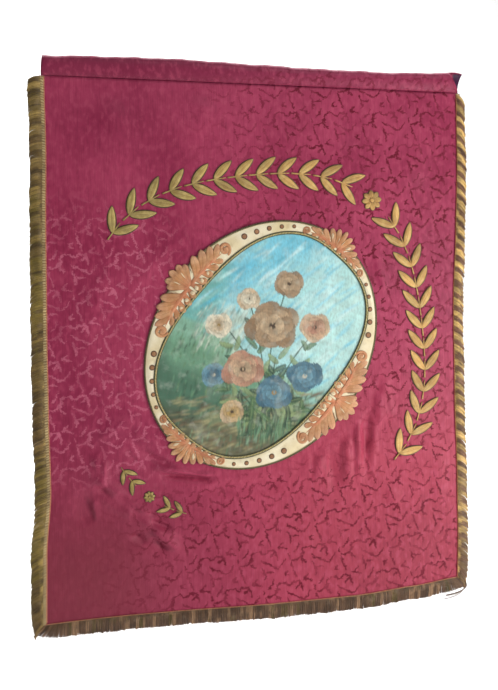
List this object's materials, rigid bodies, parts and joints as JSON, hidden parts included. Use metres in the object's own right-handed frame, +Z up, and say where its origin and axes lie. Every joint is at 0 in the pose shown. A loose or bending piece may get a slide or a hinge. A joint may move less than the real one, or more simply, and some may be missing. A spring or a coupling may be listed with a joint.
{
  "type": "fringed processional banner",
  "caption": "A processional banner of crimson damask with an oval satin medallion, an embroidered leaf frame, a gold leaf garland and a gold and brown fringe.",
  "frame": {"origin": "The middle of the pole sleeve, on the line of the pole, half way between the seam and the sleeve's top.", "axes": "+X runs along the sleeve to the right as seen from the front, +Z is up and is the banner's longest extent, and -Y is the embroidered front, so that Y is its thickness."},
  "size_m": [0.9859, 0.024, 1.225],
  "materials": {
    "damask": "figured silk damask, crimson on crimson",
    "fringe": "bullion fringe in old gold and brown",
    "painted_satin": "matt painted satin",
    "cream_satin": "ivory satin",
    "braid": "twisted cord in olive gold and green",
    "outline_cord": "dark couched cord",
    "silk_embroidery": "terracotta silk satin stitch",
    "gold_thread": "gold thread over padding"
  },
  "bodies": {
    "root": {"damask_panel": "damask", "pole_sleeve": "damask", "fringe_left": "fringe", "fringe_right": "fringe", "fringe_bottom": "fringe", "painted_oval": "painted_satin", "frame_band": "cream_satin", "rim_cord": "braid", "edge_cord": "outline_cord", "acanthus_upper_left": "silk_embroidery", "acanthus_lower_right": "silk_embroidery", "palmette_upper_right": "silk_embroidery", "palmette_lower_left": "silk_embroidery", "rosette": "gold_thread", "small_rosette": "gold_thread", "sprig_left_01": "gold_thread", "sprig_left_02": "gold_thread", "sprig_left_03": "gold_thread", "sprig_left_04": "gold_thread", "sprig_left_05": "gold_thread", "sprig_left_06": "gold_thread", "sprig_left_07": "gold_thread", "sprig_left_08": "gold_thread", "sprig_left_09": "gold_thread", "sprig_left_10": "gold_thread", "sprig_left_11": "gold_thread", "sprig_left_12": "gold_thread", "sprig_right_01": "gold_thread", "sprig_right_02": "gold_thread", "sprig_right_03": "gold_thread", "sprig_right_04": "gold_thread", "sprig_right_05": "gold_thread", "sprig_right_06": "gold_thread", "sprig_right_07": "gold_thread", "sprig_right_08": "gold_thread", "sprig_right_09": "gold_thread", "sprig_right_10": "gold_thread", "sprig_right_11": "gold_thread", "sprig_right_12": "gold_thread", "small_sprig_left_1": "gold_thread", "small_sprig_left_2": "gold_thread", "small_sprig_right_1": "gold_thread", "small_sprig_right_2": "gold_thread"}
  },
  "joints": []
}
